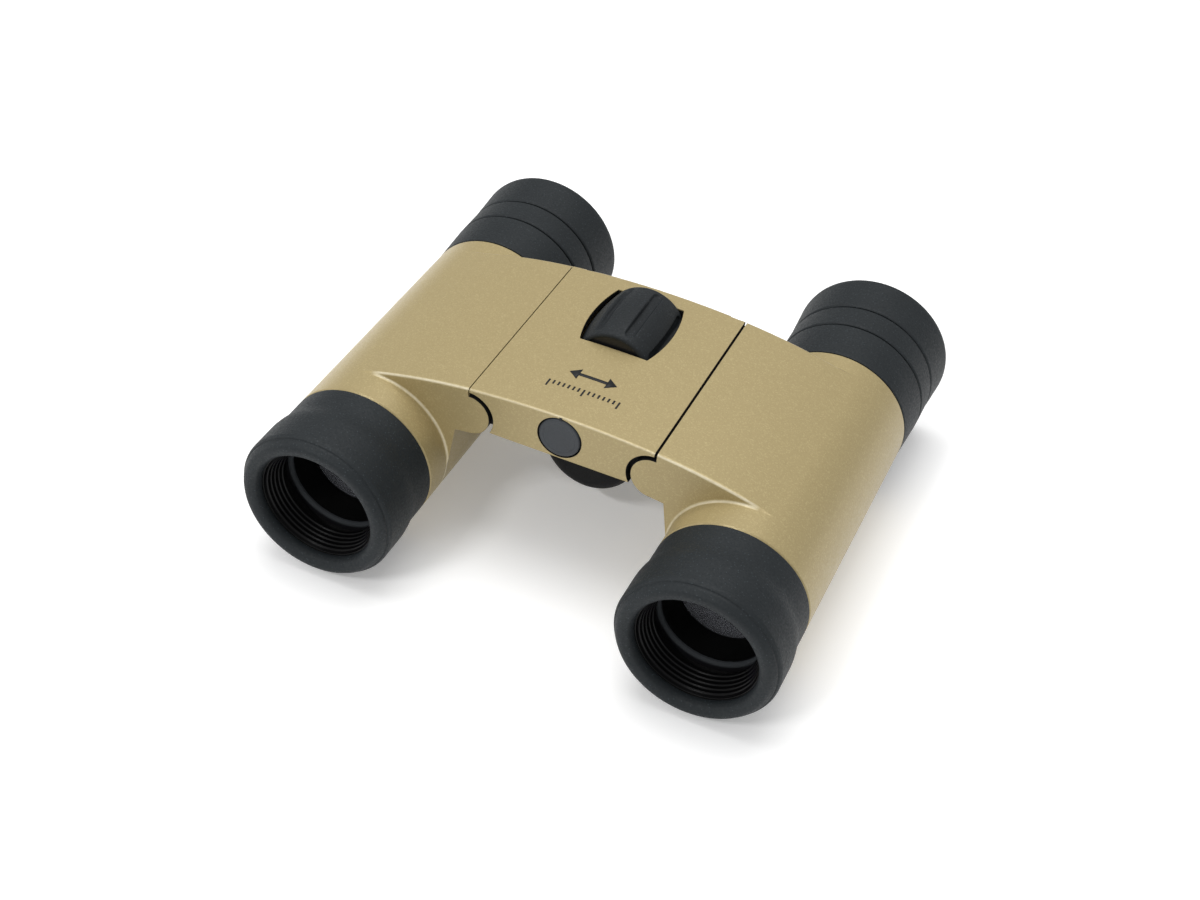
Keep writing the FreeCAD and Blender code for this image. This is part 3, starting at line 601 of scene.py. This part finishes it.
def hold_flats(outline, margin=0.12):
    """Extra points beside each rounding, so that smooth shading stays flat between them."""
    held = []
    for index, here in enumerate(outline):
        after = outline[(index + 1) % len(outline)]
        held.append(here)
        gap = after - here
        if gap.length > 4 * margin:
            held.append(here + gap.normalized() * margin)
            held.append(after - gap.normalized() * margin)
    return held


def lathe(outline, axis_x, axis_z, segments=144, reshape=None):
    """Turn a closed outline of (radius, y) in mm round an axis parallel to Y."""
    builder = bmesh.new()
    rings = []
    for index in range(segments):
        angle = 2 * math.pi * index / segments
        ring = []
        for r, y in outline:
            if reshape:
                r, y = reshape(r, y, angle)
            ring.append(builder.verts.new(((axis_x + r * math.sin(angle)) * MM, y * MM,
                                           (axis_z + r * math.cos(angle)) * MM)))
        rings.append(ring)
    for index in range(segments):
        here, there = rings[index], rings[(index + 1) % segments]
        for point in range(len(outline)):
            after = (point + 1) % len(outline)
            builder.faces.new((here[point], here[after], there[after], there[point]))
    bmesh.ops.remove_doubles(builder, verts=builder.verts, dist=1e-7)
    return builder


KEY_SIZE = (0.55, 0.3, 1.0)
KEY_AT = (0.0, -24.68, SPINDLE_Z + 3.95)
KEY_ROUNDING = 0.08


def build_cap():
    outline = round_corners([
        (0.0, -24.86, 0), (2.95, -24.86, 0.3), (3.15, -24.94, 0.2), (3.72, -24.94, 0.25),
        (3.95, -24.72, 0.2), (3.95, -23.02, 0.1), (0.0, -23.02, 0)])
    cap = new_piece("dished_front_cap", lathe(outline, 0.0, SPINDLE_Z, 96), CAP_NYLON,
                    "bridge")
    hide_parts("front_cap")
    key = bmesh.new()
    bmesh.ops.create_cube(key, size=1.0)
    bmesh.ops.scale(key, vec=Vector(KEY_SIZE) * MM, verts=key.verts)
    bmesh.ops.translate(key, vec=Vector(KEY_AT) * MM, verts=key.verts)
    bmesh.ops.bevel(key, geom=key.edges[:], offset=KEY_ROUNDING * MM, segments=3, affect="EDGES",
                    profile=0.5)
    new_piece("front_cap_key", key, PRINT_INK, "bridge")


build_cap()

# ---- Underside belly ----------------------------------------------------------------------------
# Moulded black nylon pod screwed under the bridge, with a spark-eroded matt surface. The prism
# carriers inside the barrels are moulded in the same nylon.
BELLY_NYLON = moulded_black("belly_nylon", (0.004, 0.004, 0.0045, 1), 0.55, 0.06, specular=0.18)
finish_node("underside_cover", BELLY_NYLON)
for side in ("left_", "right_"):
    finish_node(side + "prism_cage", BELLY_NYLON)

# ---- Rubber armour, rings and eyecups ------------------------------------------------------------
# Compression-moulded rubber sleeves slipped over the tubes: blue-grey black, matt, with a fine
# eroded grain from the mould, a creased roll at the objective mouth and thin joints behind.


def armour_rubber(name, tint, bloom):
    made, tree, shader = new_material(name, 0.62, specular=0.3)
    grain = place_group(tree, SURFACE_GRAIN, Grain_per_metre=2600.0, Patches_per_metre=140.0,
                        Specks_per_metre=1500.0, Speck_size=0.16)
    base = blend_colors(tree, grain.outputs["Patch"], tint, bloom)
    pale = tuple(channel * 2.2 for channel in bloom[:3]) + (1,)
    wire(tree, blend_colors(tree, grain.outputs["Speck"], base, pale),
         shader.inputs["Base Color"])
    wire(tree, stretch(tree, grain.outputs["Height"], 0.25, 0.75, 0.48, 0.76),
         shader.inputs["Roughness"])
    add_bump(tree, shader, grain.outputs["Height"], 0.5, 0.08 * MM)
    return made


ARMOUR_RUBBER = armour_rubber("armour_rubber", (0.0075, 0.0105, 0.0125, 1),
                              (0.013, 0.017, 0.0195, 1))
MOUTH = [(12.62, -31.0, 0.1), (14.3, -31.0, 0.2), (14.36, -31.3, 0.2), (14.36, -36.4, 1.6),
         (14.94, -39.2, 1.6), (14.94, -45.9, 0.7), (14.66, -46.45, 0.25), (14.38, -46.55, 0.16),
         (14.36, -46.95, 0.3), (13.6, -47.95, 0.7), (12.7, -48.12, 0.6), (11.6, -47.7, 0.7),
         (11.18, -46.7, 0.5), (11.18, -45.95, 0.1), (12.62, -45.95, 0.05)]
SLEEVE = [(12.72, 22.82, 0.05), (14.34, 22.82, 0.15), (14.42, 23.1, 0.2), (14.86, 31.55, 0.2),
          (14.64, 31.8, 0.1), (12.72, 31.8, 0.05)]
CUP = [(10.62, 38.54, 0.05), (14.66, 38.54, 0.1), (14.9, 38.85, 0.2), (15.38, 46.9, 0.5),
       (15.2, 47.85, 0.5), (14.4, 48.18, 0.4), (13.3, 48.18, 0.4), (12.62, 47.6, 0.4),
       (12.62, 41.62, 0.3), (10.62, 41.62, 0.1)]


def grip_band(inner):
    """Outline of the ring between the two thin joints, on a bore of the given radius."""
    return [(inner, 32.17, 0.05), (14.64, 32.17, 0.1), (14.87, 32.45, 0.2), (14.89, 37.9, 0.2),
            (14.67, 38.16, 0.1), (inner, 38.16, 0.05)]


FIXED_RING_BORE, DIOPTRE_RING_BORE = 10.62, 13.02


def build_rubber():
    for side, sign in SIDES:
        barrel = side + "barrel"
        ring_body, ring_node, bore = barrel, side + "trim_ring", FIXED_RING_BORE
        if side == "right_":
            ring_body, ring_node, bore = "dioptre_adjuster", "right_dioptre_ring", DIOPTRE_RING_BORE
        for name, corners, node, body in (
                ("rolled_armour", MOUTH, side + "objective_armour", barrel),
                ("rear_sleeve", SLEEVE, side + "eyepiece_armour", barrel),
                ("grip_band", grip_band(bore), ring_node, ring_body),
                ("soft_eyecup", CUP, side + "eyecup", barrel)):
            shape = lathe(round_corners(corners), sign * BARREL_X, AXIS_Z)
            piece = new_piece(side + name, shape, ARMOUR_RUBBER, body)
            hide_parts(node)


build_rubber()

# ---- Focus wheel ------------------------------------------------------------------------------
# Black rubber sleeve bonded on the wheel hub: crowned, with eight long round-ended grooves for
# the fingertip, their edges softened by moulding.
WHEEL_FRONT, WHEEL_BACK = -2.5, 14.2
WHEEL_END, WHEEL_CROWN, WHEEL_CORE = 7.5, 8.19, 6.62
GROOVES, FIRST_GROOVE = 8, math.radians(16)
GROOVE_HALF, GROOVE_FLOOR = 0.9, 7.2
GROOVE_FROM, GROOVE_TO = -0.4, 12.1
GROOVE_SOFTNESS = 0.24
WHEEL_EDGE, EDGE_STEPS = 0.7, 7
WHEEL_ROWS, WHEEL_SEGMENTS = 84, 420
WHEEL_RUBBER = armour_rubber("wheel_rubber", (0.007, 0.0095, 0.011, 1),
                             (0.0115, 0.0145, 0.017, 1))


def groove_radius(r, y, angle):
    """Sink the crown to the groove floor inside each round-ended groove."""
    pitch = 2 * math.pi / GROOVES
    offset = (angle - FIRST_GROOVE + pitch / 2) % pitch - pitch / 2
    beyond = max(GROOVE_FROM - y, 0.0, y - GROOVE_TO)
    edge = math.hypot(r * math.sin(offset), beyond) - GROOVE_HALF
    floor = GROOVE_FLOOR / math.cos(offset)
    if r <= floor:
        return r, y
    t = min(max(edge / GROOVE_SOFTNESS + 0.5, 0.0), 1.0)
    t = t * t * (3 - 2 * t)
    return floor + (r - floor) * t, y


def build_wheel():
    half = (WHEEL_BACK - WHEEL_FRONT) / 2
    middle = (WHEEL_BACK + WHEEL_FRONT) / 2
    rise = WHEEL_CROWN - WHEEL_END
    straight = half - WHEEL_EDGE
    outline = [(WHEEL_CORE, WHEEL_FRONT), (WHEEL_END - WHEEL_EDGE, WHEEL_FRONT)]
    for step in range(1, EDGE_STEPS):
        turn = math.pi / 2 * step / EDGE_STEPS
        outline.append((WHEEL_END - WHEEL_EDGE + WHEEL_EDGE * math.sin(turn),
                        WHEEL_FRONT + WHEEL_EDGE - WHEEL_EDGE * math.cos(turn)))
    mirrored = [(r, 2 * middle - y) for r, y in outline]
    for row in range(WHEEL_ROWS + 1):
        y = WHEEL_FRONT + WHEEL_EDGE + 2 * straight * row / WHEEL_ROWS
        outline.append((WHEEL_CROWN - rise * ((y - middle) / straight) ** 2, y))
    outline += mirrored[::-1]
    wheel = lathe(outline, 0.0, SPINDLE_Z, WHEEL_SEGMENTS, reshape=groove_radius)
    piece = new_piece("grooved_wheel_sleeve", wheel, WHEEL_RUBBER, "focus_wheel")
    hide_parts("focus_wheel_grip")


build_wheel()

# ---- Blackened metal inside the barrels ---------------------------------------------------------
# Turned aluminium, dyed black: lens cells, baffles, housings and rings, with faint tool rings.
# The baffle is blackened matt, and the lens ring's front lip is painted a lighter grey as a
# highlight.
LIP_HIGHLIGHT_PLANE = -38.0
RIDGES, RIDGE_PITCH, RIDGE_STEP = 5, 0.8, 0.28
FIRST_RIDGE = (10.75, -45.2)


def blackened_metal(name, tint, rough, specular, metal, lip_highlight=None):
    made, tree, shader = new_material(name, rough, metal, specular)
    turning = tree.nodes.new("ShaderNodeTexWave")
    turning.bands_direction = "Y"
    turning.inputs["Scale"].default_value = 1100
    turning.inputs["Distortion"].default_value = 0.5
    wire(tree, object_point(tree), turning.inputs["Vector"])
    lighter = tuple(channel * 1.5 for channel in tint[:3]) + (1,)
    color = blend_colors(tree, turning.outputs["Fac"], tint, lighter)
    # Painted highlight: the ring's front lip is given a lighter grey.
    if lip_highlight:
        front = maths(tree, "LESS_THAN", axes_in_mm(tree)[1], LIP_HIGHLIGHT_PLANE)
        color = blend_colors(tree, front, color, lip_highlight)
    wire(tree, color, shader.inputs["Base Color"])
    wire(tree, stretch(tree, turning.outputs["Fac"], 0.0, 1.0, rough - 0.06, rough + 0.08),
         shader.inputs["Roughness"])
    add_bump(tree, shader, turning.outputs["Fac"], 0.15, 0.02 * MM)
    return made


ANODISED = blackened_metal("anodised_black", (0.012, 0.012, 0.014, 1), 0.4, 0.4, 0.3)
FLOCKED = blackened_metal("blackened_baffle", (0.0015, 0.0015, 0.0017, 1), 0.36, 0.15, 0.0)
LENS_RING = blackened_metal("lens_ring", (0.002, 0.002, 0.002, 1), 0.4, 0.1, 0.0,
                            lip_highlight=(0.05, 0.055, 0.06, 1))


def build_baffles():
    """Moulded cone in each mouth with low round-topped ridges, stepping down to the lens."""
    corners = [(11.26, -45.88, 0.05), (10.98, -45.88, 0.1), (10.86, -45.5, 0.15)]
    for index in range(RIDGES):
        radius = FIRST_RIDGE[0] - index * RIDGE_STEP
        y = FIRST_RIDGE[1] + index * RIDGE_PITCH
        corners += [(radius, y, 0.1), (radius - 0.22, y + 0.16, 0.08),
                    (radius - 0.24, y + 0.5, 0.12)]
    corners += [(9.36, -41.3, 0.08), (9.5, -41.16, 0.1), (11.26, -41.16, 0.1)]
    for side, sign in SIDES:
        cone = lathe(round_corners(corners, 3), sign * BARREL_X, AXIS_Z)
        piece = new_piece(side + "ridged_baffle", cone, FLOCKED, side + "barrel")
        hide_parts(side + "glare_baffle")


build_baffles()
for side in ("left_", "right_"):
    for ending in ("objective_cell", "eyepiece_housing", "field_stop", "eyepiece_cell",
                   "eye_lens_ring"):
        finish_node(side + ending, ANODISED)
    finish_node(side + "objective_ring", LENS_RING)
for inner in ("focus_wheel_hub", "focus_crossbar", "right_dioptre_collar"):
    finish_node(inner, ANODISED)

# ---- Lenses and prisms --------------------------------------------------------------------------
# Polished crown and flint glass. The outer lenses are ground to a true sphere here, with a thin
# anti-reflection coating that keeps their glint low.
LENS_STEPS = 24
# radius, front edge, back edge, bulge of the front, bulge of the back
FRONT_LENS = (10.14, -32.8, -30.58, 1.25, 0.86)
REAR_LENS = (7.48, 34.35, 38.3, 1.2, 1.0)


def optical_glass(name, tint, rough_high, clear=1.0):
    made, tree, shader = new_material(name, 0.0)
    shader.inputs["Transmission Weight"].default_value = clear
    shader.inputs["IOR"].default_value = 1.52
    haze = noise(tree, object_point(tree), 160.0)
    hazed = tuple(channel * 0.9 for channel in tint[:3]) + (1,)
    wire(tree, blend_colors(tree, haze, tint, hazed), shader.inputs["Base Color"])
    wire(tree, stretch(tree, haze, 0.3, 0.7, 0.0, rough_high), shader.inputs["Roughness"])
    return made


LENS_GLASS = optical_glass("lens_glass", (0.30, 0.33, 0.37, 1), 0.03)
# The front lenses let only part of the light through; the rest shows as a flat grey, a painted
# reflection on the glass.
COATED_GLASS_PAINTED_SHEEN = optical_glass("front_glass_painted_sheen", (0.29, 0.30, 0.33, 1), 0.06, clear=0.62)
PRISM_GLASS = optical_glass("prism_glass", (0.85, 0.9, 0.88, 1), 0.01)


def spherical_lens(radius, front, back, front_sag, back_sag):
    """Outline of a lens, from its middle out along the front and back along the rear face."""
    def face(y_edge, sag, outwards):
        sphere = (radius ** 2 + sag ** 2) / (2 * abs(sag))
        points = []
        for step in range(LENS_STEPS + 1):
            r = radius * step / LENS_STEPS
            drop = sphere - math.sqrt(sphere ** 2 - r ** 2)
            points.append((r, y_edge + outwards * (sag - math.copysign(drop, sag))))
        return points
    return face(front, front_sag, -1) + face(back, back_sag, 1)[::-1]


def build_lenses():
    for side, sign in SIDES:
        objective = side + "objective"
        eyepiece = "left_barrel" if side == "left_" else "right_eyepiece"
        for name, lens, glass, node, body in (
                ("front_lens", FRONT_LENS, COATED_GLASS_PAINTED_SHEEN, "objective_crown_lens", objective),
                ("rear_lens", REAR_LENS, LENS_GLASS, "eye_lens", eyepiece)):
            shape = lathe(spherical_lens(*lens), sign * BARREL_X, AXIS_Z, 96)
            piece = new_piece(side + name, shape, glass, body)
            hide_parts(side + node)
        for ending in ("objective_flint_lens", "field_lens"):
            finish_node(side + ending, LENS_GLASS)
        for ending in ("half_penta_prism", "roof_prism"):
            finish_node(side + ending, PRISM_GLASS)


build_lenses()

# ---- Steel and brass small parts ----------------------------------------------------------------
# Turned and ground parts of the focus drive and the hinges: spindle, pins, screws and clips in
# steel, bushes and focus nut in brass. Pressed, screwed or clipped in place.


def turned_metal(name, tint, rough):
    made, tree, shader = new_material(name, rough, 1.0)
    grain = place_group(tree, SURFACE_GRAIN, Grain_per_metre=3000.0, Patches_per_metre=300.0)
    darker = tuple(channel * 0.8 for channel in tint[:3]) + (1,)
    wire(tree, blend_colors(tree, grain.outputs["Patch"], tint, darker),
         shader.inputs["Base Color"])
    wire(tree, stretch(tree, grain.outputs["Height"], 0.2, 0.8, rough - 0.08, rough + 0.1),
         shader.inputs["Roughness"])
    add_bump(tree, shader, grain.outputs["Height"], 0.15, 0.02 * MM)
    return made


STEEL = turned_metal("ground_steel", (0.55, 0.55, 0.56, 1), 0.3)
BRASS = turned_metal("turned_brass", (0.72, 0.52, 0.22, 1), 0.32)
for inner in ("cover_screws", "hinge_pins", "focus_spindle", "spindle_circlip",
              "wheel_thrust_washer", "wheel_set_screw", "drive_pins", "left_prism_clip",
              "right_prism_clip", "right_dioptre_pin"):
    finish_node(inner, STEEL)
for inner in ("front_spindle_bush", "rear_spindle_bush", "focus_nut"):
    finish_node(inner, BRASS)
